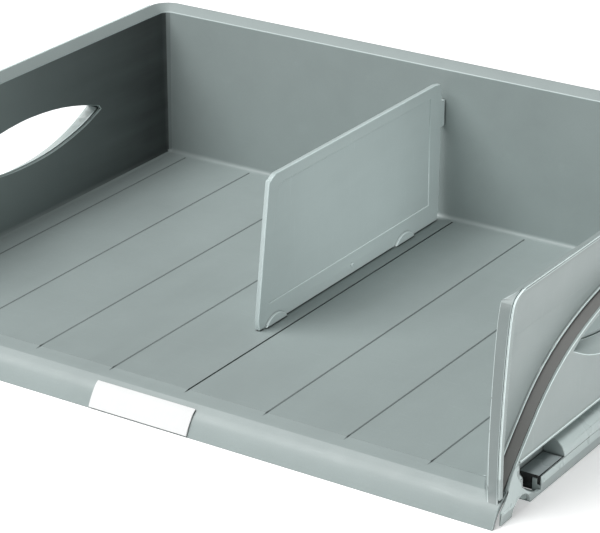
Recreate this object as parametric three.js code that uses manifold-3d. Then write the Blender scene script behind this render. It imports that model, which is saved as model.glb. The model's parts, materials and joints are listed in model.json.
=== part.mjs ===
// A wide stacking letter tray with a lift-out divider, in millimetres, +Z up, front towards -Y.
// The tray stands on z = 0 and its box is centred on the origin.
import * as THREE from "three";
import { mergeVertices } from "three/addons/utils/BufferGeometryUtils.js";
import Module from "manifold-3d";

const wasm = await Module();
wasm.setup();

// Driving dimensions
const INSIDE_WIDTH = 430;
const FLOOR_BACK = 160;
const FLOOR_FRONT = -144.3;
const FLOOR_TOP = 17.4;
const FLOOR_THICKNESS = 2.4;
const WALL = 2.2;
const WALL_TOP = 120;
const WALL_DRAFT = 1.9;
const CORNER_RADIUS = 4;
const RIM_REACH = 10.3;
const RIM_TOP = 124.5;
const SKIN = 1.6;
const GAP = 0.3;
const LIP_END = 232.3;

// Side panels: how far each layer lies from the middle of the tray
const INNER_SKIN = 217.9;
const UPPER_SKIN = 221.2;
const LOWER_SKIN = 231.2;
const PANEL_EDGE_TOP = 225.8;
const PANEL_EDGE_FOOT = 232.6;
const PANEL_FOOT = 8;
const RIM_UNDERSIDE = 121.2;
const PANEL_BACK = 162;
const EDGE = 1.2;
const RIDGE = 1.4;
const LOWER_SKIN_FOOT = 27;
const RAIL_FRONT = -137.8;
const RAIL_BACK = 147;

// The dark band lies sunk below the arch's edge, on a ledge
const BAND_SINK = 0.6;
const BAND = 1;
const LEDGE = 1;
const LEDGE_DROP = BAND_SINK + BAND + GAP;

// Arch over the hand hole: half of its curve, as distance from its middle and height
const ARCH_MIDDLE = 5;
const ARCH = [[0, 91], [30, 89], [56, 84], [80, 76.5], [100, 67], [118, 54.5], [134, 39.5], [150, 23.5], [166, 8]];
const HOLE_BOTTOM = [[0, 56.5], [22, 57.3], [42, 60.2], [63, 65.2], [80, 71.8]];
const OUTER_HOLE_BOTTOM = [[0, 50], [22, 50.9], [43, 54.2], [65, 60.8], [85, 70.6]];
const HOLE_HALF = 79;
const OUTER_HOLE_HALF = 83.5;

// Stacking clips
const CLIP_MIDDLES = { front: -102.8, rear: 102.8 };
const CLIP_LENGTH = 27;
const CLIP_TOP = 10.4;
const CLIP_REACH = 232.7;
const POCKET_FLOOR = 0.8;
const POCKET_ROOF = 26;
const POCKET_REACH = 17;

// Divider
const DIVIDER_MIDDLE = 7.2;
const DIVIDER_THICKNESS = 3;
const FOOT_MIDDLES = [-40, 110.5];
const FOOT_REACH = 11.5;
const FOOT_HEIGHT = 6;
const FOOT_BULGE = 1.6;

// Floor grooves and ribs below the floor
const GROOVE_FIRST = -197.5;
const GROOVE_PITCH = 54.1;
const GROOVE_COUNT = 8;
const GROOVE_WIDTH = 1.3;
const GROOVE_DEPTH = 0.8;

// Label
const LABEL_THICKNESS = 0.8;
const LABEL_LEFT = -36;
const LABEL_RIGHT = 33.4;

const SHORT_EDGE = 0.002;

const X = new THREE.Vector3(1, 0, 0);
const Y = new THREE.Vector3(0, 1, 0);
const Z = new THREE.Vector3(0, 0, 1);
const HALF = INSIDE_WIDTH / 2;

const traySurface = new THREE.MeshStandardMaterial({ color: 0x9fb0ad, roughness: 0.5, metalness: 0 });
const panelSurface = new THREE.MeshStandardMaterial({ color: 0xa5b2b0, roughness: 0.5, metalness: 0 });
const dividerSurface = new THREE.MeshStandardMaterial({ color: 0x9aa8a5, roughness: 0.5, metalness: 0 });
const bandSurface = new THREE.MeshStandardMaterial({ color: 0x656765, roughness: 0.6, metalness: 0 });
const clipSurface = new THREE.MeshStandardMaterial({ color: 0x3c4040, roughness: 0.45, metalness: 0 });
const labelSurface = new THREE.MeshStandardMaterial({ color: 0xf4f5f5, roughness: 0.7, metalness: 0 });

// A closed three.js geometry as a solid that can be joined and cut.
function solid(geometry) {
  const bare = geometry.clone();
  bare.deleteAttribute("normal");
  bare.deleteAttribute("uv");
  const merged = mergeVertices(bare, 1e-4);
  return new wasm.Manifold(new wasm.Mesh({
    numProp: 3,
    vertProperties: merged.attributes.position.array,
    triVerts: new Uint32Array(merged.index.array),
  }));
}

// A solid's surface as a geometry, without the needless short edges that joining and cutting leave.
function geometryOf(body) {
  const data = body.asOriginal().simplify(SHORT_EDGE).getMesh();
  const geometry = new THREE.BufferGeometry();
  geometry.setAttribute("position", new THREE.BufferAttribute(data.vertProperties, 3));
  geometry.setIndex(new THREE.BufferAttribute(data.triVerts, 1));
  return geometry;
}

function piece(name, geometry, surface) {
  geometry.computeVertexNormals();
  const mesh = new THREE.Mesh(geometry, surface);
  mesh.name = name;
  return mesh;
}

// The same geometry on the other side of the tray.
function mirrored(geometry) {
  const twin = geometry.clone().applyMatrix4(new THREE.Matrix4().makeScale(-1, 1, 1));
  const order = twin.index.array;
  for (let i = 0; i < order.length; i += 3) {
    [order[i + 1], order[i + 2]] = [order[i + 2], order[i + 1]];
  }
  return twin;
}

function extruded(points, depth, basis) {
  const shape = new THREE.Shape(points.map(([a, b]) => new THREE.Vector2(a, b)));
  const geometry = new THREE.ExtrudeGeometry(shape, { depth, bevelEnabled: false, steps: 1 });
  return solid(geometry.applyMatrix4(basis));
}

// An outline in (y, z), filled from x = low to x = high.
function alongX(points, low, high) {
  return extruded(points, high - low, new THREE.Matrix4().makeBasis(Y, Z, X).setPosition(low, 0, 0));
}

// An outline in (x, z), filled from y = low to y = high.
function alongY(points, low, high) {
  const basis = new THREE.Matrix4().makeBasis(X, Z, Y.clone().negate()).setPosition(0, high, 0);
  return extruded(points, high - low, basis);
}

// A body on the right side together with its mirror image on the left.
function onBothSides(body) {
  return body.add(solid(mirrored(geometryOf(body))));
}

function block(x0, x1, y0, y1, z0, z1) {
  const box = new THREE.BoxGeometry(x1 - x0, y1 - y0, z1 - z0);
  return solid(box.translate((x0 + x1) / 2, (y0 + y1) / 2, (z0 + z1) / 2));
}

function joined(bodies) {
  return bodies.reduce((sum, body) => sum.add(body));
}

// A smooth curve through the points, as a list of points.
function smooth(points, steps) {
  const curve = new THREE.SplineCurve(points.map(([a, b]) => new THREE.Vector2(a, b)));
  return curve.getPoints(steps).map((p) => [p.x, p.y]);
}

// Both halves of a curve given from its middle outwards, lowered by drop, from front to back.
function bothHalves(half, drop, steps) {
  const back = smooth([[-half[1][0], half[1][1]], ...half], steps + Math.round(steps / (half.length - 1)))
    .filter(([reach]) => reach > 0.01);
  const front = back.map(([reach, height]) => [-reach, height]).reverse();
  return [...front, [0, half[0][1]], ...back].map(([reach, height]) => [ARCH_MIDDLE + reach, height - drop]);
}

function archCurve(drop) {
  return bothHalves(ARCH, drop, 20);
}

// Everything below the arch curve, and everything above it, between two distances from the middle.
function belowArch(drop, low, high) {
  const curve = archCurve(drop);
  return alongX([[curve[0][0], -30], [curve.at(-1)[0], -30], ...curve.reverse()], low, high);
}

function aboveArch(drop, low, high) {
  const curve = archCurve(drop);
  return alongX([...curve, [200, curve.at(-1)[1]], [200, 140], [-200, 140], [-200, curve[0][1]]], low, high);
}

// The front edge of the walls, from the rounded top corner down to the front lip, as (y, z).
const FRONT_EDGE = smooth(
  [[-128, 124.8], [-137.5, 121.3], [-142.8, 112], [-149, 88], [-154.6, 60], [-158.8, 34], [-160.8, 8]],
  18,
);

function frontEdgeAt(height) {
  const edge = FRONT_EDGE;
  if (height >= edge[0][1]) return edge[0][0];
  const i = edge.findIndex(([, z]) => z <= height);
  if (i < 0) return edge.at(-1)[0];
  const share = (edge[i - 1][1] - height) / (edge[i - 1][1] - edge[i][1]);
  return THREE.MathUtils.lerp(edge[i - 1][0], edge[i][0], share);
}

// The room behind the walls' front edge, moved back by inset.
function behindFrontEdge(inset, low, high) {
  const edge = FRONT_EDGE.map(([y, z]) => [y + inset, z]);
  const outline = [[200, -10], [200, 140], [edge[0][0], 140], ...edge, [edge.at(-1)[0], -10]];
  return alongX(outline, low, high);
}

// The walls turn outwards close to their front edge, most at the bottom.
const FLARE_LENGTH = 22;

function flare(y, z) {
  const start = frontEdgeAt(z) + FLARE_LENGTH;
  const share = THREE.MathUtils.clamp((start - y) / FLARE_LENGTH, 0, 1.3);
  const reach = 0.6 + (9.6 * (WALL_TOP - THREE.MathUtils.clamp(z, 10, WALL_TOP))) / (WALL_TOP - 10);
  return reach * share * share;
}

// Stations along the walls, seen from above: front right, back right, back left, front left.
function cornerStations(middleX, from) {
  const stations = [];
  for (let i = 0; i <= 6; i += 1) {
    const turn = from + (i * Math.PI) / 12;
    const nx = Math.cos(turn);
    const ny = Math.sin(turn);
    stations.push({ x: middleX + CORNER_RADIUS * nx, y: FLOOR_BACK - CORNER_RADIUS + CORNER_RADIUS * ny, nx, ny });
  }
  return stations;
}

const BACK_STATIONS = [
  ...cornerStations(HALF - CORNER_RADIUS, 0),
  ...cornerStations(CORNER_RADIUS - HALF, Math.PI / 2),
];
const FLARE_STATIONS = [-172, -164, -160, -156, -152, -148, -144, -140, -136, -126, -112];

function sideStations(side) {
  return FLARE_STATIONS.map((y) => ({ x: side * HALF, y, nx: side, ny: 0 }));
}

const WALL_STATIONS = [...sideStations(1), ...BACK_STATIONS, ...sideStations(-1).reverse()];

// A closed profile of (distance outwards, height) swept along the stations.
function swept(stations, profile) {
  const positions = [];
  const order = [];
  const count = profile.length;
  for (const { x, y, nx, ny } of stations) {
    for (const [reach, height] of profile) {
      const out = reach + (ny === 0 ? flare(y, height) : 0);
      positions.push(x + nx * out, y + ny * out, height);
    }
  }
  for (let i = 0; i + 1 < stations.length; i += 1) {
    for (let j = 0; j < count; j += 1) {
      const a = i * count + j;
      const b = i * count + ((j + 1) % count);
      order.push(a, a + count, b, b, a + count, b + count);
    }
  }
  const flat = profile.map(([reach, height]) => new THREE.Vector2(reach, height));
  const last = (stations.length - 1) * count;
  for (const [a, b, c] of THREE.ShapeUtils.triangulateShape(flat, [])) {
    order.push(a, b, c, last + a, last + c, last + b);
  }
  const geometry = new THREE.BufferGeometry();
  geometry.setAttribute("position", new THREE.Float32BufferAttribute(positions, 3));
  geometry.setIndex(order);
  return solid(geometry);
}

function draftAt(height) {
  return (WALL_DRAFT * Math.max(0, height - FLOOR_TOP)) / (WALL_TOP - FLOOR_TOP);
}

// The wall of the tray with its sloped rim. Thickness counts outwards from the inner face.
const LEVELS = [20.6, 36, 52, 70, 88, 104];

// The rim's upper face, from its raised outer edge down to the inner face of the wall.
const RIM_SLOPE = [
  [RIM_REACH - 1.9, RIM_TOP - 0.2],
  [WALL_DRAFT + 0.5, 120.4],
  [WALL_DRAFT, WALL_TOP],
];

function wallProfile(thickness) {
  const outer = LEVELS.map((z) => [draftAt(z) + thickness, z]);
  const inner = LEVELS.map((z) => [draftAt(z), z]).reverse();
  return [
    [0, 0],
    [thickness, 0],
    ...outer,
    [WALL_DRAFT + thickness, 118],
    [RIM_REACH - 1.7, 121.5],
    [RIM_REACH, 121.5],
    [RIM_REACH, 123.8],
    [RIM_REACH - 0.7, RIM_TOP],
    ...RIM_SLOPE,
    ...inner,
    [-0.3, 19.3],
    [-1.1, 18.1],
    [-3.2, FLOOR_TOP],
    [-3.2, 11],
    [0, 11],
  ];
}

// The space that a side panel leaves free round the wall and its rim.
function wallClearance() {
  const reach = WALL + GAP;
  const outer = LEVELS.map((z) => [draftAt(z) + reach, z]);
  const wall = swept(sideStations(1).concat([{ x: HALF, y: 200, nx: 1, ny: 0 }]), [
    [-40, -5],
    [reach, -5],
    ...outer,
    [WALL_DRAFT + reach, 117.6],
    [RIM_REACH - 1.7, RIM_UNDERSIDE],
    [-40, RIM_UNDERSIDE],
  ]);
  return wall.add(block(190, PANEL_EDGE_TOP - EDGE, -200, 200, RIM_UNDERSIDE - 0.1, 140));
}

// The front lip: level at the floor's edge, then rounded down to the table.
const LIP_CURVE = [
  [FLOOR_FRONT, FLOOR_TOP],
  ...smooth([[-154.4, 15.6], [-161.2, 11.4], [-165.6, 5.2], [-168, 0]], 9),
];
function frontLip() {
  const foot = LIP_CURVE.at(-1)[0];
  const outline = [
    ...LIP_CURVE,
    [foot + WALL, 0],
    ...LIP_CURVE.slice(1).reverse().map(([y, z]) => [y + WALL * 0.75, z - WALL]).filter(([, z]) => z > 0),
    [FLOOR_FRONT + 2, FLOOR_TOP - FLOOR_THICKNESS],
    [FLOOR_FRONT + 2, FLOOR_TOP],
  ];
  const whole = alongX(outline, -LIP_END, LIP_END);
  const betweenWalls = swept(sideStations(1), [[-HALF - 20, -5], [1, -5], [1, 30], [-HALF - 20, 30]]);
  const ends = block(-LIP_END, LIP_END, -170, -152, -1, 20);
  return whole.intersect(onBothSides(betweenWalls).add(ends));
}

// In front of the floor the rounding at the foot of the walls makes way for the lip.
function wallFootRoom() {
  const room = swept(sideStations(1), [[-20, 5], [0, 5], [0, 20], [-20, 20]]);
  return onBothSides(room.intersect(block(150, 250, -175, FLOOR_FRONT, 0, 30)));
}

// The room that the lip's end takes up, which the side panel keeps clear of.
function lipClearance() {
  const outer = LIP_CURVE.map(([y, z]) => [y - GAP, z + GAP]);
  const room = alongX([...outer, [outer.at(-1)[0], -5], [outer[0][0], -5]], 200, LIP_END + GAP);
  return room.intersect(block(190, 240, -180, -151.7, -10, 30));
}

function holeOutline(half, reach) {
  const top = archCurve(LEDGE_DROP + LEDGE).filter(([y]) => Math.abs(y - ARCH_MIDDLE) <= reach);
  return [...bothHalves(half, 0, 12), ...top.reverse()];
}

function handHole(low, high) {
  return alongX(holeOutline(HOLE_BOTTOM, HOLE_HALF), low, high);
}

function outerHandHole() {
  return alongX(holeOutline(OUTER_HOLE_BOTTOM, OUTER_HOLE_HALF), LOWER_SKIN - 3, 240);
}

function dividerSlots() {
  const half = DIVIDER_THICKNESS / 2 + 0.6;
  return joined(FOOT_MIDDLES.map((y) => block(
    DIVIDER_MIDDLE - half, DIVIDER_MIDDLE + half, y - FOOT_REACH - 0.8, y + FOOT_REACH + 0.8, 10, 20,
  )));
}

function grooves() {
  const cuts = [];
  for (let i = 0; i < GROOVE_COUNT; i += 1) {
    const x = GROOVE_FIRST + i * GROOVE_PITCH;
    cuts.push(block(
      x - GROOVE_WIDTH / 2, x + GROOVE_WIDTH / 2, FLOOR_FRONT - 6, FLOOR_BACK - 4, FLOOR_TOP - GROOVE_DEPTH, 20,
    ));
  }
  return joined(cuts);
}

function floorRibs() {
  const under = FLOOR_TOP - FLOOR_THICKNESS;
  const ribs = [-162, -54, 54, 162].map((x) => block(x - 0.8, x + 0.8, FLOOR_FRONT, FLOOR_BACK + 1, 9, under + 1));
  ribs.push(...[-72, 8, 88].map((y) => block(-HALF - 1, HALF + 1, y - 0.8, y + 0.8, 9, under + 1)));
  return joined(ribs);
}

// The flange that closes the front edge of a wall, out to the side panel.
function frontFlange() {
  const strip = behindFrontEdge(0, 200, 240).subtract(behindFrontEdge(WALL, 199, 241));
  const reach = (z) => edgeReach(z) - EDGE - GAP;
  const outline = [[HALF - 3, 9], [reach(9), 9], [reach(RIM_TOP), RIM_TOP], [HALF, RIM_TOP]];
  const outside = swept(sideStations(1), [
    [0, 9],
    [30, 9],
    [30, RIM_TOP],
    ...RIM_SLOPE,
    ...LEVELS.map((z) => [draftAt(z), z]).reverse(),
  ]);
  return strip.intersect(alongY(outline, -170, -120)).intersect(outside);
}

function trayBody() {
  const floor = block(-HALF - 1, HALF + 1, FLOOR_FRONT - 0.5, FLOOR_BACK + 1, FLOOR_TOP - FLOOR_THICKNESS, FLOOR_TOP);
  const sideRim = PANEL_EDGE_TOP - EDGE - GAP;
  const walls = swept(WALL_STATIONS, wallProfile(WALL))
    .intersect(behindFrontEdge(0, -300, 300))
    .subtract(onBothSides(block(sideRim, 240, -200, FLOOR_BACK - CORNER_RADIUS, RIM_UNDERSIDE, 130)))
    .subtract(wallFootRoom());
  const backSkirt = swept(BACK_STATIONS, [
    [RIM_REACH - 1.7, 108],
    [RIM_REACH, 108],
    [RIM_REACH, 122.5],
    [RIM_REACH - 1.7, 122.5],
  ]);
  return joined([floor, walls, backSkirt, onBothSides(frontFlange()), frontLip(), floorRibs()])
    .subtract(handHole(-260, 260))
    .subtract(dividerSlots())
    .subtract(grooves());
}

// Distance from the middle of the tray to the panel's raised edge, which leans outwards towards its foot.
function edgeReach(z) {
  return THREE.MathUtils.mapLinear(z, PANEL_FOOT, RIM_TOP, PANEL_EDGE_FOOT, PANEL_EDGE_TOP);
}

function upperSkin() {
  const outer = [
    [PANEL_EDGE_TOP, RIM_TOP],
    [PANEL_EDGE_TOP, RIM_TOP - 1.3],
    [PANEL_EDGE_TOP - 0.6, RIM_TOP - 1.8],
    [UPPER_SKIN + 0.5, 97],
    [UPPER_SKIN, 91],
    [UPPER_SKIN, 6],
  ];
  const inner = outer.map(([x, z]) => [x - SKIN, z]).reverse();
  return alongY([...outer, ...inner], -170, PANEL_BACK)
    .intersect(behindFrontEdge(WALL + GAP, 200, 240))
    .intersect(aboveArch(LEDGE_DROP + LEDGE, 200, 240));
}

// The thin edge that stands out round the front of the upper panel, and the wall behind it.
function frontEdge() {
  const outline = [
    [216, PANEL_FOOT],
    [edgeReach(PANEL_FOOT), PANEL_FOOT],
    [edgeReach(RIM_UNDERSIDE), RIM_UNDERSIDE],
    [222.3, RIM_UNDERSIDE],
  ];
  const edge = [
    [edgeReach(PANEL_FOOT) - EDGE, PANEL_FOOT],
    [edgeReach(PANEL_FOOT), PANEL_FOOT],
    [edgeReach(RIM_TOP), RIM_TOP],
    [edgeReach(RIM_TOP) - EDGE, RIM_TOP],
  ];
  const behindEdge = behindFrontEdge(WALL + GAP + EDGE, 199, 241);
  const backing = behindFrontEdge(WALL + GAP, 200, 240).subtract(behindEdge).intersect(alongY(outline, -170, -120));
  const shell = behindFrontEdge(0, 200, 240).subtract(behindEdge).intersect(alongY(edge, -170, -120));
  return shell.add(backing);
}

// A thin ridge that stands out from the upper skin along the arch, just above the dark band.
function archRidge() {
  return belowArch(-RIDGE - GAP, UPPER_SKIN - SKIN / 2, UPPER_SKIN + RIDGE)
    .subtract(belowArch(-GAP, 200, 240))
    .intersect(behindFrontEdge(WALL + GAP + EDGE / 2, 200, 240))
    .intersect(block(200, 240, -170, PANEL_BACK, 0, 130));
}

// A solid between two outlines in (y, z), anticlockwise with equally many points, at x = low and x = high.
function between(outlineLow, low, outlineHigh, high) {
  const count = outlineLow.length;
  const positions = [];
  outlineLow.forEach(([y, z]) => positions.push(low, y, z));
  outlineHigh.forEach(([y, z]) => positions.push(high, y, z));
  const order = [];
  for (let i = 0; i < count; i += 1) {
    const next = (i + 1) % count;
    order.push(i, next, i + count, next, next + count, i + count);
  }
  const flat = outlineLow.map(([y, z]) => new THREE.Vector2(y, z));
  for (const [a, b, c] of THREE.ShapeUtils.triangulateShape(flat, [])) {
    order.push(a, c, b, a + count, b + count, c + count);
  }
  const geometry = new THREE.BufferGeometry();
  geometry.setAttribute("position", new THREE.Float32BufferAttribute(positions, 3));
  geometry.setIndex(order);
  return solid(geometry);
}

// The arch ledge that carries the grip band, and the dished ledge under the hand hole.
function ledges() {
  const inner = HALF + WALL + WALL_DRAFT + GAP;
  const upper = belowArch(LEDGE_DROP, UPPER_SKIN - SKIN, LOWER_SKIN)
    .subtract(belowArch(LEDGE_DROP + LEDGE, 200, 240))
    .intersect(block(200, 240, -170, PANEL_BACK, 0, 130));
  const tunnel = belowArch(LEDGE_DROP, inner, UPPER_SKIN)
    .subtract(belowArch(LEDGE_DROP + LEDGE, 200, 240))
    .intersect(block(200, 240, ARCH_MIDDLE - 88, ARCH_MIDDLE + 88, 0, 130));
  const strip = (half) => {
    const top = bothHalves(half, 0, 12);
    return [...top.map(([y, z]) => [y, z - LEDGE]), ...top.reverse()];
  };
  return joined([upper, tunnel, between(strip(HOLE_BOTTOM), inner, strip(OUTER_HOLE_BOTTOM), LOWER_SKIN)]);
}

// The rounded bead of the stacking rail, as (x, z) from the lower skin's foot down to the table.
const BEAD = [
  [LOWER_SKIN, LOWER_SKIN_FOOT + 2],
  [LOWER_SKIN + 0.9, LOWER_SKIN_FOOT + 1.5],
  [LOWER_SKIN + 0.9, LOWER_SKIN_FOOT + 0.2],
  [LOWER_SKIN - 2, 26.4],
  [223.6, 25.4],
  [222.9, 21.5],
  ...smooth([[223.8, 20.3], [227.6, 19.4], [231.2, 16.4], [233.3, 11.4], [234, 6]], 10),
  [233.7, 0],
];

// The lower skin with the rail below it: the bead outside, and back up inside.
function railProfile() {
  return [
    [LOWER_SKIN, 98],
    ...BEAD,
    [232, 0],
    [232.2, 5.8],
    [231.6, 10.6],
    [229.9, 14.8],
    [226.9, 17.4],
    [223, 18.2],
    [221.2, 20],
    [221.2, 27],
    [LOWER_SKIN - SKIN, 28.2],
    [LOWER_SKIN - SKIN, 98],
  ];
}

// The smooth ends of the rail, which carry on the shape of the front lip.
function railEnds() {
  const outer = [
    [LOWER_SKIN, 60],
    [LOWER_SKIN, 26],
    ...smooth([[LOWER_SKIN + 0.1, 24], [232.2, 18.5], [233.5, 12], [234, 6]], 8),
    [233.7, 0],
  ];
  const inner = outer.map(([x, z]) => [x - 2, z]).reverse();
  const outline = [...outer, ...inner];
  const caps = [
    block(221.2, LOWER_SKIN - 1, RAIL_FRONT - SKIN, RAIL_FRONT, 17.5, 28),
    block(221.2, LOWER_SKIN - 1, RAIL_BACK, RAIL_BACK + SKIN, 17.5, 28),
  ];
  return joined([
    alongY(outline, -170, RAIL_FRONT + 0.15),
    alongY(outline, RAIL_BACK - 0.15, PANEL_BACK),
    ...caps,
  ]);
}

function archNotch() {
  const middle = RAIL_FRONT - 0.8;
  const outline = [];
  for (let i = 0; i <= 12; i += 1) {
    const turn = (i * Math.PI) / 12;
    outline.push([middle + 10.2 * Math.cos(turn), 8.7 * Math.sin(turn)]);
  }
  return alongX([[middle - 10.2, -2], [middle + 10.2, -2], ...outline], 200, 240);
}

// The outer strip of the rail falls away in front of a clip, so that the clip's legs stand free.
function clipApproach(front) {
  const slope = [[-24, 21], [-20, 12.6], [-17, 9.8], [-8.6, 4.6], [-5, 3], [0.1, 2.5], [0.1, POCKET_ROOF], [-24, POCKET_ROOF]];
  return alongX(slope.map(([y, z]) => [front + y, z]), LOWER_SKIN + 0.2, 240);
}

// One clip's place: a lined recess in the rail, deep in front of the clip and shaped to it below.
function clipHousing(middle) {
  const front = middle - CLIP_LENGTH / 2 - GAP;
  const back = middle + CLIP_LENGTH / 2 + GAP;
  const start = front - POCKET_REACH;
  const lining = alongY([...BEAD, [INNER_SKIN, 0], [INNER_SKIN, LOWER_SKIN_FOOT + 2]], start - SKIN, back + SKIN);
  const inside = INNER_SKIN + SKIN;
  const above = CLIP_TOP + GAP;
  return lining.subtract(joined([
    block(inside, 231.4, start, front + 0.1, POCKET_FLOOR, POCKET_ROOF),
    clipApproach(front),
    block(inside, 240, front, back, above, POCKET_ROOF),
    block(inside, 228.1, front, back, -1, above + 0.1),
    block(228, 231.1, front, back, CLIP_TOP - 1.6 - GAP, above + 0.1),
    block(231, CLIP_REACH + GAP, front, back, 4.8, above + 0.1),
  ]));
}

function sidePanel() {
  const middles = Object.values(CLIP_MIDDLES);
  const rooms = middles.map((middle) => block(
    INNER_SKIN + SKIN, 240,
    middle - CLIP_LENGTH / 2 - GAP - POCKET_REACH, middle + CLIP_LENGTH / 2 + GAP,
    -2, POCKET_ROOF,
  ));
  const rail = alongY(railProfile(), RAIL_FRONT, RAIL_BACK).subtract(joined(rooms));
  const endWall = alongY(
    [[INNER_SKIN, 0], [233.3, 0], [233.5, 6], [231.6, 20], [LOWER_SKIN, 26], [LOWER_SKIN, 96], [INNER_SKIN, 96]],
    PANEL_BACK - SKIN,
    PANEL_BACK,
  );
  const housings = middles.map(clipHousing);
  const approaches = middles.map((middle) => clipApproach(middle - CLIP_LENGTH / 2 - GAP));
  const bandRoom = belowArch(-1, UPPER_SKIN, LOWER_SKIN - SKIN).subtract(belowArch(LEDGE_DROP, 200, 240));
  const lower = joined([rail, railEnds(), endWall, ...housings])
    .intersect(belowArch(0, 200, 240))
    .subtract(joined([bandRoom, ...approaches]));
  return joined([lower, upperSkin(), frontEdge(), archRidge()])
    .subtract(outerHandHole())
    .add(ledges())
    .intersect(alongX(panelOutline(), 200, 240))
    .subtract(wallClearance())
    .subtract(lipClearance())
    .subtract(archNotch())
    .subtract(block(200, 240, FLOOR_BACK - CORNER_RADIUS - GAP, 180, 107.7, 130));
}

// Seen from the side: the panel never passes the front edge or the lip.
function panelOutline() {
  const lip = LIP_CURVE.slice(2);
  const edge = FRONT_EDGE.filter(([, z]) => z > 13.2);
  return [[PANEL_BACK, 0], [PANEL_BACK, RIM_TOP], [edge[0][0] + 8, RIM_TOP + 0.3], ...edge, ...lip, [-168, 0]];
}

// The dark band lies on the arch ledge, between the two skins.
function gripBand() {
  return belowArch(BAND_SINK, UPPER_SKIN + GAP, LOWER_SKIN - SKIN - GAP)
    .subtract(belowArch(BAND_SINK + BAND, 200, 240))
    .intersect(block(200, 240, -154, PANEL_BACK - SKIN - GAP, 0, 130))
    .intersect(behindFrontEdge(WALL + EDGE + 2 * GAP, 200, 240))
    .subtract(wallClearance())
    .subtract(lipClearance());
}

// An n-shaped clip: a thick leg inside, a thin one outside, and a plate across.
function stackingClip(middle) {
  const under = CLIP_TOP - 1.6;
  const outline = [
    [219.9, CLIP_TOP],
    [219.9, under + 0.2],
    [222.2, 6.6],
    [222.2, POCKET_FLOOR],
    [227.8, POCKET_FLOOR],
    [227.8, under],
    [231.3, under],
    [231.3, 5.1],
    [CLIP_REACH, 5.1],
    [CLIP_REACH, CLIP_TOP - 0.8],
    [CLIP_REACH - 0.8, CLIP_TOP],
  ];
  return alongY(outline, middle - CLIP_LENGTH / 2, middle + CLIP_LENGTH / 2);
}

// The divider: a plate with a raised border, half-round feet and a small catch.
const DIVIDER_OUTLINE = [
  [-57, FLOOR_TOP + GAP],
  ...smooth([[-58, 24], [-46.8, 103], [-44.2, 110.4], [-38, 113.6]], 8),
  [148, 113.6],
  [154.2, 112.4],
  [156.2, 107.6],
  [154.5, 24],
  [152.5, FLOOR_TOP + GAP],
];
const DIVIDER_FIELD = [
  [-46.4, 32],
  ...smooth([[-38.4, 96], [-36.4, 102.6], [-31, 105.6]], 4),
  [141.5, 105.8],
  [141.5, 32],
];

function dividerFoot(middle) {
  const radius = (FOOT_REACH ** 2 + FOOT_HEIGHT ** 2) / (2 * FOOT_HEIGHT);
  const bottom = FLOOR_TOP + GAP;
  const half = Math.asin(FOOT_REACH / radius);
  const arc = [];
  for (let i = 0; i <= 12; i += 1) {
    const turn = -half + (i * half) / 6;
    arc.push([middle - radius * Math.sin(turn), bottom + FOOT_HEIGHT - radius + radius * Math.cos(turn)]);
  }
  const reach = DIVIDER_THICKNESS / 2 + FOOT_BULGE;
  const boss = alongX(arc, DIVIDER_MIDDLE - reach, DIVIDER_MIDDLE + reach);
  const tongue = block(
    DIVIDER_MIDDLE - 1, DIVIDER_MIDDLE + 1, middle - FOOT_REACH + 1, middle + FOOT_REACH - 1, 15.2, bottom + 1,
  );
  return boss.add(tongue);
}

function divider() {
  const half = DIVIDER_THICKNESS / 2;
  const plate = alongX(DIVIDER_OUTLINE, DIVIDER_MIDDLE - half, DIVIDER_MIDDLE + half);
  const right = alongX(DIVIDER_FIELD, DIVIDER_MIDDLE + half - 0.5, DIVIDER_MIDDLE + half + 1);
  const left = alongX(DIVIDER_FIELD, DIVIDER_MIDDLE - half - 1, DIVIDER_MIDDLE - half + 0.5);
  const nub = block(DIVIDER_MIDDLE, DIVIDER_MIDDLE + half + 1.2, 45.5, 48, 22.6, 25);
  const backCatch = block(DIVIDER_MIDDLE - 1.3, DIVIDER_MIDDLE + 1.3, 154, 160.6, 82, 100);
  return joined([plate.subtract(right).subtract(left), nub, backCatch, ...FOOT_MIDDLES.map(dividerFoot)]);
}

// The label follows the rounded lip.
function labelCard() {
  const curve = smooth([[-158.2, 13.5], [-161.2, 11.4], [-165.6, 5.2], [-167.7, 0.9]], 10);
  const offset = (reach) => curve.map(([y, z], i) => {
    const [a, b] = [curve[Math.max(0, i - 1)], curve[Math.min(curve.length - 1, i + 1)]];
    const length = Math.hypot(b[0] - a[0], b[1] - a[1]);
    return [y + ((b[1] - a[1]) / length) * reach, z - ((b[0] - a[0]) / length) * reach];
  });
  return alongX([...offset(GAP + LABEL_THICKNESS), ...offset(GAP).reverse()], LABEL_LEFT, LABEL_RIGHT);
}

const tray = new THREE.Group();
tray.add(piece("tray_body", geometryOf(trayBody()), traySurface));

const panel = geometryOf(sidePanel());
tray.add(piece("side_panel_right", panel, panelSurface));
tray.add(piece("side_panel_left", mirrored(panel), panelSurface));

const band = geometryOf(gripBand());
tray.add(piece("grip_band_right", band, bandSurface));
tray.add(piece("grip_band_left", mirrored(band), bandSurface));

for (const [place, middle] of Object.entries(CLIP_MIDDLES)) {
  const clip = geometryOf(stackingClip(middle));
  tray.add(piece(`stacking_clip_${place}_right`, clip, clipSurface));
  tray.add(piece(`stacking_clip_${place}_left`, mirrored(clip), clipSurface));
}

tray.add(piece("divider", geometryOf(divider()), dividerSurface));
tray.add(piece("label_card", geometryOf(labelCard()), labelSurface));

const extent = new THREE.Box3().setFromObject(tray);
tray.position.y = -(extent.min.y + extent.max.y) / 2;

export default tray;
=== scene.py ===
"""The looks of the wide letter tray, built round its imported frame. Metres, +Z up."""
import json
import math

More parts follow.
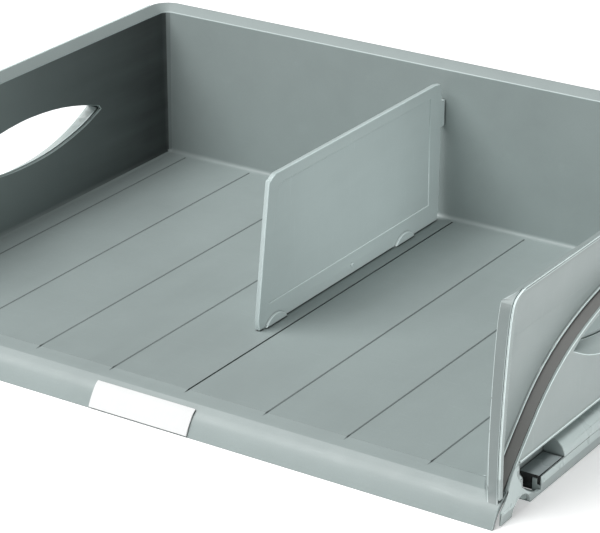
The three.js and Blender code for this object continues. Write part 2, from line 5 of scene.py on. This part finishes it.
import bmesh
import bpy
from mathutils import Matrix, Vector

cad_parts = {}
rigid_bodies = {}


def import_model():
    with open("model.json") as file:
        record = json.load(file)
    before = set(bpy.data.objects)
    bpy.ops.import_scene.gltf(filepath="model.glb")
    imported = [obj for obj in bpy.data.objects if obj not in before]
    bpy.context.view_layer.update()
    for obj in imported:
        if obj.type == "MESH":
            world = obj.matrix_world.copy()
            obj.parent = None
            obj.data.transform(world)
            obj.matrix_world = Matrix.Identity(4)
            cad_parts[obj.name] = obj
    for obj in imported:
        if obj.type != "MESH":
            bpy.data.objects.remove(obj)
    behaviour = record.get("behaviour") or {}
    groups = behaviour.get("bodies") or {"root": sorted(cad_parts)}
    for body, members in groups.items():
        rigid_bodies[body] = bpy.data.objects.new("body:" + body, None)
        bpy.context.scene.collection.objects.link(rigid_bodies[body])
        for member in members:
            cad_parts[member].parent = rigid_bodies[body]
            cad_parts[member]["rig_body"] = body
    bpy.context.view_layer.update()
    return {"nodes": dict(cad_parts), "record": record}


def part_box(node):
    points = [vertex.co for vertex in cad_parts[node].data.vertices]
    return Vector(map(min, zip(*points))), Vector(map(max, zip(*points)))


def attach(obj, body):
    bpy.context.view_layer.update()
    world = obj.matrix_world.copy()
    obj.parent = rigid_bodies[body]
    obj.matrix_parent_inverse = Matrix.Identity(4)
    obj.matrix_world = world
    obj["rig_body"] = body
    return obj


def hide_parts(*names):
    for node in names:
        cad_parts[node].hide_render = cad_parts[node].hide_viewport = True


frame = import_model()

MM = 0.001

# Camera: a three-quarter view from the tray's front right, close in, so the tray runs out of the picture
AIM = Vector((0.0293, -0.0448, 0.0603))
AZIMUTH = 33.2
ELEVATION = 23.4
DISTANCE = 1.6
LENS = 161.2

# Edges that turn more than this are sharp, and the ones that stick out are rounded
SHARP = math.radians(32)
MERGE = 0.02 * MM

# The tray's floor, how far below it the grooves reach, and how far above it an edge still counts as theirs
FLOOR_TOP = next(m["pos_m"][2] for m in frame["record"]["mounts"] if m["name"] == "floor_rest")
GROOVE_ROOM = 1.0 * MM
GROOVE_SLACK = 0.1 * MM

# The foot of the side panels' lower skin: the edges below it get no painted highlight
FOOT_LINE = 0.0272
FOOT_FADE = 1 * MM

# The tray's left inner wall lies this far in and ends below the rim. Its colour is painted darker, as
# shade, from a place behind the tray's front to one before its back.
LEFT_WALL_DEPTH = 30 * MM
RIM_HEIGHT = 4 * MM
FADE_FROM_FRONT = 120 * MM
FADE_FROM_BACK = 30 * MM

# How far in from the tray's sides its front flanges and the side rails reach
FLANGE_DEPTH = 20 * MM
RAIL_DEPTH = 9.5 * MM


def direction(azimuth, elevation):
    """From the object towards a camera or light; azimuth 0 is in front, 90 is to the right."""
    a, e = math.radians(azimuth), math.radians(elevation)
    return Vector((math.sin(a) * math.cos(e), -math.cos(a) * math.cos(e), math.sin(e)))


def place(name, data, location, away):
    made = bpy.data.objects.new(name, data)
    made.location = location
    made.rotation_mode = "QUATERNION"
    made.rotation_quaternion = (-away).to_track_quat("-Z", "Y")
    bpy.context.scene.collection.objects.link(made)
    return made


def add_camera():
    data = bpy.data.cameras.new("camera")
    data.lens = LENS
    data.sensor_width = 36
    data.clip_start = 0.05
    data.clip_end = 50
    away = direction(AZIMUTH, ELEVATION)
    bpy.context.scene.camera = place("camera", data, AIM + away * DISTANCE, away)


def add_area(name, azimuth, elevation, distance, size, power, aim):
    data = bpy.data.lights.new(name, "AREA")
    data.shape = "RECTANGLE"
    data.size, data.size_y = size
    data.energy = power
    away = direction(azimuth, elevation)
    return place(name, data, aim + away * distance, away)


def add_spot(name, azimuth, elevation, distance, angle, power, aim):
    data = bpy.data.lights.new(name, "SPOT")
    data.spot_size = math.radians(angle)
    data.spot_blend = 0.8
    data.shadow_soft_size = 0.12
    data.energy = power
    away = direction(azimuth, elevation)
    return place(name, data, aim + away * distance, away)


def only_on(light, pieces):
    """The light falls on these pieces and on nothing else."""
    lit = bpy.data.collections.new(light.name + "_lights")
    for made in pieces:
        lit.objects.link(made)
    light.light_linking.receiver_collection = lit


def add_studio(sides, dividers):
    world = bpy.data.worlds.new("studio")
    world.use_nodes = True
    background = world.node_tree.nodes["Background"]
    background.inputs["Color"].default_value = (1, 1, 1, 1)
    background.inputs["Strength"].default_value = 0.08
    bpy.context.scene.world = world
    bpy.context.scene.view_settings.view_transform = "Standard"

    divider_low, divider_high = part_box("divider")
    divider_middle = (Vector(divider_low) + Vector(divider_high)) / 2
    middle = Vector((0, 0, 0.05))
    add_area("key", -44, 58, 2.6, (2.0, 2.0), 82, middle)
    add_area("front_fill", 6, 44, 2.8, (1.5, 1.5), 14, middle)
    only_on(add_area("rim", 115, 64, 2.2, (1.0, 0.5), 30, middle), sides)
    only_on(add_area("left_fill", -88, 22, 1.5, (1.4, 0.4), 9, middle), sides)
    only_on(add_area("side_fill", 84, 2, 1.5, (1.4, 0.12), 3.4, middle), sides)
    only_on(add_spot("divider_fill", 66, 27, 1.5, 15, 76, divider_middle), dividers)


def add_floor():
    """A pale floor that glows a little, so that it goes white in the picture."""
    mesh = bpy.data.meshes.new("floor")
    mesh.from_pydata([(-9, -9, 0), (9, -9, 0), (9, 9, 0), (-9, 9, 0)], [], [(0, 1, 2, 3)])
    floor = bpy.data.objects.new("floor", mesh)
    bpy.context.scene.collection.objects.link(floor)
    material = bpy.data.materials.new("floor")
    material.use_nodes = True
    shader = material.node_tree.nodes["Principled BSDF"]
    shader.inputs["Base Color"].default_value = (0.93, 0.93, 0.93, 1)
    shader.inputs["Roughness"].default_value = 0.9
    shader.inputs["Emission Color"].default_value = (1, 1, 1, 1)
    shader.inputs["Emission Strength"].default_value = 0.4
    mesh.materials.append(material)


class Nodes:
    """Short calls for building one material's node tree."""

    def __init__(self, name):
        self.material = bpy.data.materials.new(name)
        self.material.use_nodes = True
        self.tree = self.material.node_tree
        self.shader = self.tree.nodes["Principled BSDF"]
        self.place = self.tree.nodes.new("ShaderNodeTexCoord").outputs["Object"]

    def link(self, source, target):
        self.tree.links.new(source, target)

    def stretched(self, scale):
        node = self.tree.nodes.new("ShaderNodeMapping")
        node.inputs["Scale"].default_value = scale
        self.link(self.place, node.inputs["Vector"])
        return node.outputs["Vector"]

    def noise(self, scale, detail=2.0, roughness=0.5, place=None):
        node = self.tree.nodes.new("ShaderNodeTexNoise")
        node.inputs["Scale"].default_value = scale
        node.inputs["Detail"].default_value = detail
        node.inputs["Roughness"].default_value = roughness
        self.link(place or self.place, node.inputs["Vector"])
        return node.outputs["Fac"]

    def ranged(self, value, low, high, to_low, to_high):
        node = self.tree.nodes.new("ShaderNodeMapRange")
        self.link(value, node.inputs["Value"])
        ends = {"From Min": low, "From Max": high, "To Min": to_low, "To Max": to_high}
        for key, number in ends.items():
            node.inputs[key].default_value = number
        return node.outputs["Result"]

    def math(self, operation, a, b):
        node = self.tree.nodes.new("ShaderNodeMath")
        node.operation = operation
        for socket, value in zip(node.inputs, (a, b)):
            if isinstance(value, (int, float)):
                socket.default_value = value
            else:
                self.link(value, socket)
        return node.outputs["Value"]

    def mixed(self, share, first, second):
        node = self.tree.nodes.new("ShaderNodeMix")
        node.data_type = "RGBA"
        sockets = [s for s in node.inputs if s.enabled]
        for socket, value in zip(sockets, (share, first, second)):
            if isinstance(value, (int, float)):
                socket.default_value = value
            elif isinstance(value, tuple):
                socket.default_value = (*value, 1)
            else:
                self.link(value, socket)
        return next(s for s in node.outputs if s.enabled)

    def bump(self, height, distance, strength, normal=None):
        node = self.tree.nodes.new("ShaderNodeBump")
        node.inputs["Distance"].default_value = distance
        node.inputs["Strength"].default_value = strength
        self.link(height, node.inputs["Height"])
        if normal is not None:
            self.link(normal, node.inputs["Normal"])
        return node.outputs["Normal"]


def scaled(color, factor):
    return tuple(min(1.0, channel * factor) for channel in color)


def moulded(name, color, roughness, variation=0.06, top_sheen_color=None, fade=None):
    """Spark-eroded moulded plastic: fine grain, faint flow marks, scuffs, and painted shade in the corners.

    A top colour is painted on level faces: a painted sheen where light falls from above. A fade is (axis,
    start, end, colour): the colour takes over along the axis from start to end.
    """
    n = Nodes(name)
    cloud = n.noise(16, detail=3)
    flow = n.noise(1, detail=3, place=n.stretched((70, 9, 70)))
    grain_height = n.noise(2100, detail=2, roughness=0.6)
    streaks = n.noise(1, detail=5, roughness=0.65, place=n.stretched((46, 520, 46)))
    scuff = n.ranged(streaks, 0.60, 0.72, 0, 1)

    pale, deep = scaled(color, 1 + variation), scaled(color, 1 - variation)
    base = n.mixed(n.ranged(cloud, 0.3, 0.7, 0, 1), deep, pale)
    base = n.mixed(n.ranged(flow, 0.35, 0.7, 0, 0.45), base, scaled(color, 1 + 1.4 * variation))
    base = n.mixed(n.ranged(grain_height, 0.35, 0.65, 0, 0.5), base, scaled(color, 1 - 1.2 * variation))
    base = n.mixed(n.math("MULTIPLY", scuff, 0.2), base, scaled(color, 1.2))
    # Painted shade: the colour goes darker where the AO node finds corners, grooves and seams.
    corner = n.tree.nodes.new("ShaderNodeAmbientOcclusion")
    corner.samples = 6
    corner.inputs["Distance"].default_value = 1.6 * MM
    painted_corner_shade = n.ranged(corner.outputs["AO"], 0.4, 0.85, 0.8, 0)
    base = n.mixed(painted_corner_shade, base, scaled(color, 0.12))
    if fade:
        axis, start, end, other = fade
        along = n.tree.nodes.new("ShaderNodeSeparateXYZ")
        n.link(n.place, along.inputs["Vector"])
        share = n.ranged(along.outputs[axis], start, end, 0, 1)
        base = n.mixed(n.math("MULTIPLY", share, n.ranged(flow, 0.2, 0.8, 0.8, 1)), base, other)
    if top_sheen_color:
        # Painted sheen: level faces take the top colour, blotchy with the cloud noise.
        facing = n.tree.nodes.new("ShaderNodeSeparateXYZ")
        n.link(n.tree.nodes.new("ShaderNodeNewGeometry").outputs["Normal"], facing.inputs["Vector"])
        level = n.ranged(facing.outputs["Z"], 0.7, 0.98, 0, 1)
        painted_top_sheen = n.math("MULTIPLY", level, n.ranged(cloud, 0.2, 0.7, 0.75, 1))
        base = n.mixed(painted_top_sheen, base, top_sheen_color)
    n.link(base, n.shader.inputs["Base Color"])

    rough = n.ranged(n.noise(55, detail=3), 0.3, 0.7, roughness - 0.06, roughness + 0.06)
    rough = n.math("SUBTRACT", rough, n.math("MULTIPLY", scuff, 0.1))
    n.link(rough, n.shader.inputs["Roughness"])

    sink = n.bump(n.noise(11, detail=1), 0.5 * MM, 0.25)
    n.link(n.bump(grain_height, 0.03 * MM, 0.5, sink), n.shader.inputs["Normal"])
    return n.material


def card(name, color):
    """Smooth white card with faint fibres."""
    n = Nodes(name)
    fibre = n.noise(1, detail=4, roughness=0.7, place=n.stretched((900, 160, 160)))
    blotch = n.noise(60, detail=3)
    base = n.mixed(n.ranged(fibre, 0.4, 0.75, 0, 0.5), color, scaled(color, 0.94))
    base = n.mixed(n.ranged(blotch, 0.4, 0.7, 0, 0.5), base, scaled(color, 0.97))
    n.link(base, n.shader.inputs["Base Color"])
    n.link(n.ranged(blotch, 0.3, 0.7, 0.62, 0.8), n.shader.inputs["Roughness"])
    n.link(n.bump(fibre, 0.02 * MM, 0.5), n.shader.inputs["Normal"])
    return n.material


def in_groove(edge, source):
    """Whether an edge belongs to one of the narrow grooves in the tray's floor, which stay crisp."""
    heights = [(source.matrix_world @ vertex.co).z for vertex in edge.verts]
    return all(FLOOR_TOP - GROOVE_ROOM < height < FLOOR_TOP + GROOVE_SLACK for height in heights)


def refined(name, surface, edge_surface, bevel, more=()):
    """A clean copy of a CAD node with rounded outer edges, which stands for it.

    Each of more is (surface, test): the faces that pass the test, given middle and normal, take the surface.
    """
    source = frame["nodes"][name]
    bm = bmesh.new()
    bm.from_mesh(source.data)
    bmesh.ops.remove_doubles(bm, verts=bm.verts, dist=MERGE)
    bmesh.ops.dissolve_degenerate(bm, dist=MERGE, edges=bm.edges)
    bmesh.ops.dissolve_limit(bm, angle_limit=math.radians(0.5), verts=bm.verts, edges=bm.edges)
    weight = bm.edges.layers.float.new("bevel_weight_edge")
    for edge in bm.edges:
        sharp = len(edge.link_faces) == 2 and edge.calc_face_angle(0) > SHARP
        outer = sharp and edge.is_convex and edge.calc_length() > 2 * bevel
        edge[weight] = 1.0 if outer and not in_groove(edge, source) else 0.0
    mesh = bpy.data.meshes.new(name + "_finish")
    bm.to_mesh(mesh)
    bm.free()
    for part_surface in (surface, edge_surface, *(other for other, _ in more)):
        mesh.materials.append(part_surface)
    for polygon in mesh.polygons:
        polygon.use_smooth = True
        passed = [i for i, (_, test) in enumerate(more, start=2) if test(polygon.center, polygon.normal)]
        polygon.material_index = passed[0] if passed else 0
    mesh.set_sharp_from_angle(angle=SHARP)
    made = bpy.data.objects.new(name + "_finish", mesh)
    bpy.context.scene.collection.objects.link(made)
    modifier = made.modifiers.new("edges", "BEVEL")
    modifier.width = bevel
    modifier.segments = 2
    modifier.limit_method = "WEIGHT"
    modifier.use_clamp_overlap = False
    # The rounded edges take the edge surface, a painted highlight where it is lighter.
    modifier.material = 1
    weighted = made.modifiers.new("flat_faces", "WEIGHTED_NORMAL")
    weighted.keep_sharp = True
    weighted.weight = 100
    weighted.thresh = 0.01
    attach(made, source["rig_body"])
    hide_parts(name)
    return made


TRAY = (0.300, 0.352, 0.347)
PANEL = (0.335, 0.390, 0.384)
DIVIDER = (0.375, 0.440, 0.436)
BAND = (0.195, 0.195, 0.188)
CLIP = (0.013, 0.014, 0.014)
# The clip's level faces are painted this lighter colour as a sheen.
CLIP_TOP_SHEEN = (0.330, 0.375, 0.380)
CARD = (0.74, 0.75, 0.75)

tray_plastic = moulded("tray_plastic", TRAY, 0.46)
# Lighter copies of the plastic on the rounded edges are painted highlights.
tray_edge_highlight = moulded("tray_edge_painted_highlight", scaled(TRAY, 1.7), 0.36)
tray_low, tray_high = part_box("tray_body")
# Painted shade: the left inner wall's colour darkens to a tenth towards the back corner.
wall_shade_fade = ("Y", tray_low[1] + FADE_FROM_FRONT, tray_high[1] - FADE_FROM_BACK, scaled(TRAY, 0.1))
left_wall_painted_shade = moulded("tray_left_wall_painted_shade", TRAY, 0.40, fade=wall_shade_fade)
# Painted shade: the front flanges' forward faces take a darker copy of the plastic.
front_flange_painted_shade = moulded("tray_front_flange_painted_shade", scaled(TRAY, 0.72), 0.46)
# Painted highlight: the rails' upward faces take a lighter copy of the panel plastic.
rail_painted_highlight = moulded("panel_rail_painted_highlight", scaled(PANEL, 1.45), 0.3)
panel_plastic = moulded("panel_plastic", PANEL, 0.38)
# Below the foot line the painted edge highlight gives way to the plain panel colour.
foot_fade = ("Z", FOOT_LINE, FOOT_LINE - FOOT_FADE, PANEL)
panel_edge_highlight = moulded("panel_edge_painted_highlight", scaled(PANEL, 2.1), 0.34, fade=foot_fade)
divider_plastic = moulded("divider_plastic", DIVIDER, 0.42)
divider_edge_highlight = moulded("divider_edge_painted_highlight", scaled(DIVIDER, 1.25), 0.36)
band_plastic = moulded("band_plastic", BAND, 0.6, variation=0.08)
clip_plastic = moulded("clip_plastic", CLIP, 0.3, variation=0.12, top_sheen_color=CLIP_TOP_SHEEN)
card_paper = card("label_card_paper", CARD)

# Node name start: surface, edge surface (a painted highlight where it is lighter), record slot, edge radius
LOOKS = {
    "tray_body": (tray_plastic, tray_edge_highlight, "tray_plastic", 0.4 * MM),
    "side_panel": (panel_plastic, panel_edge_highlight, "panel_plastic", 0.35 * MM),
    "grip_band": (band_plastic, band_plastic, "dark_band", 0.15 * MM),
    "stacking_clip": (clip_plastic, clip_plastic, "dark_clip", 0.2 * MM),
    "divider": (divider_plastic, divider_edge_highlight, "divider_plastic", 0.5 * MM),
    "label_card": (card_paper, card_paper, "label", 0.08 * MM),
}


# The faces of the left inner wall that take the painted shade.
def on_left_wall(middle, normal):
    inner = normal.x > 0.7 and middle.x < tray_low[0] + LEFT_WALL_DEPTH
    return inner and FLOOR_TOP < middle.z < tray_high[2] - RIM_HEIGHT


# The forward faces of the front flanges that take the painted shade.
def on_front_flange(middle, normal):
    in_front = normal.y < -0.75 and middle.z > 0.5 * FLOOR_TOP
    return in_front and abs(middle.x) > tray_high[0] - FLANGE_DEPTH


# The upward faces of the side rails that take the painted highlight.
def on_rail(middle, normal):
    outside = normal.x * middle.x > 0 and abs(middle.x) > tray_high[0] - RAIL_DEPTH
    return outside and middle.z < FOOT_LINE and abs(normal.y) < 0.3 and normal.z > 0


MORE = {
    "tray_body": [(left_wall_painted_shade, on_left_wall), (front_flange_painted_shade, on_front_flange)],
    "side_panel_left": [(rail_painted_highlight, on_rail)],
    "side_panel_right": [(rail_painted_highlight, on_rail)],
}

finished = {}
for node in sorted(frame["nodes"]):
    look = next(look for start, look in LOOKS.items() if node.startswith(start))
    surface, edge_surface, slot, radius = look
    finished[node] = refined(node, surface, edge_surface, radius, MORE.get(node, ()))

add_camera()
SIDE_STARTS = ("side_panel", "grip_band", "stacking_clip")
side_pieces = [made for node, made in finished.items() if node.startswith(SIDE_STARTS)]
add_studio(side_pieces, [finished["divider"]])
add_floor()
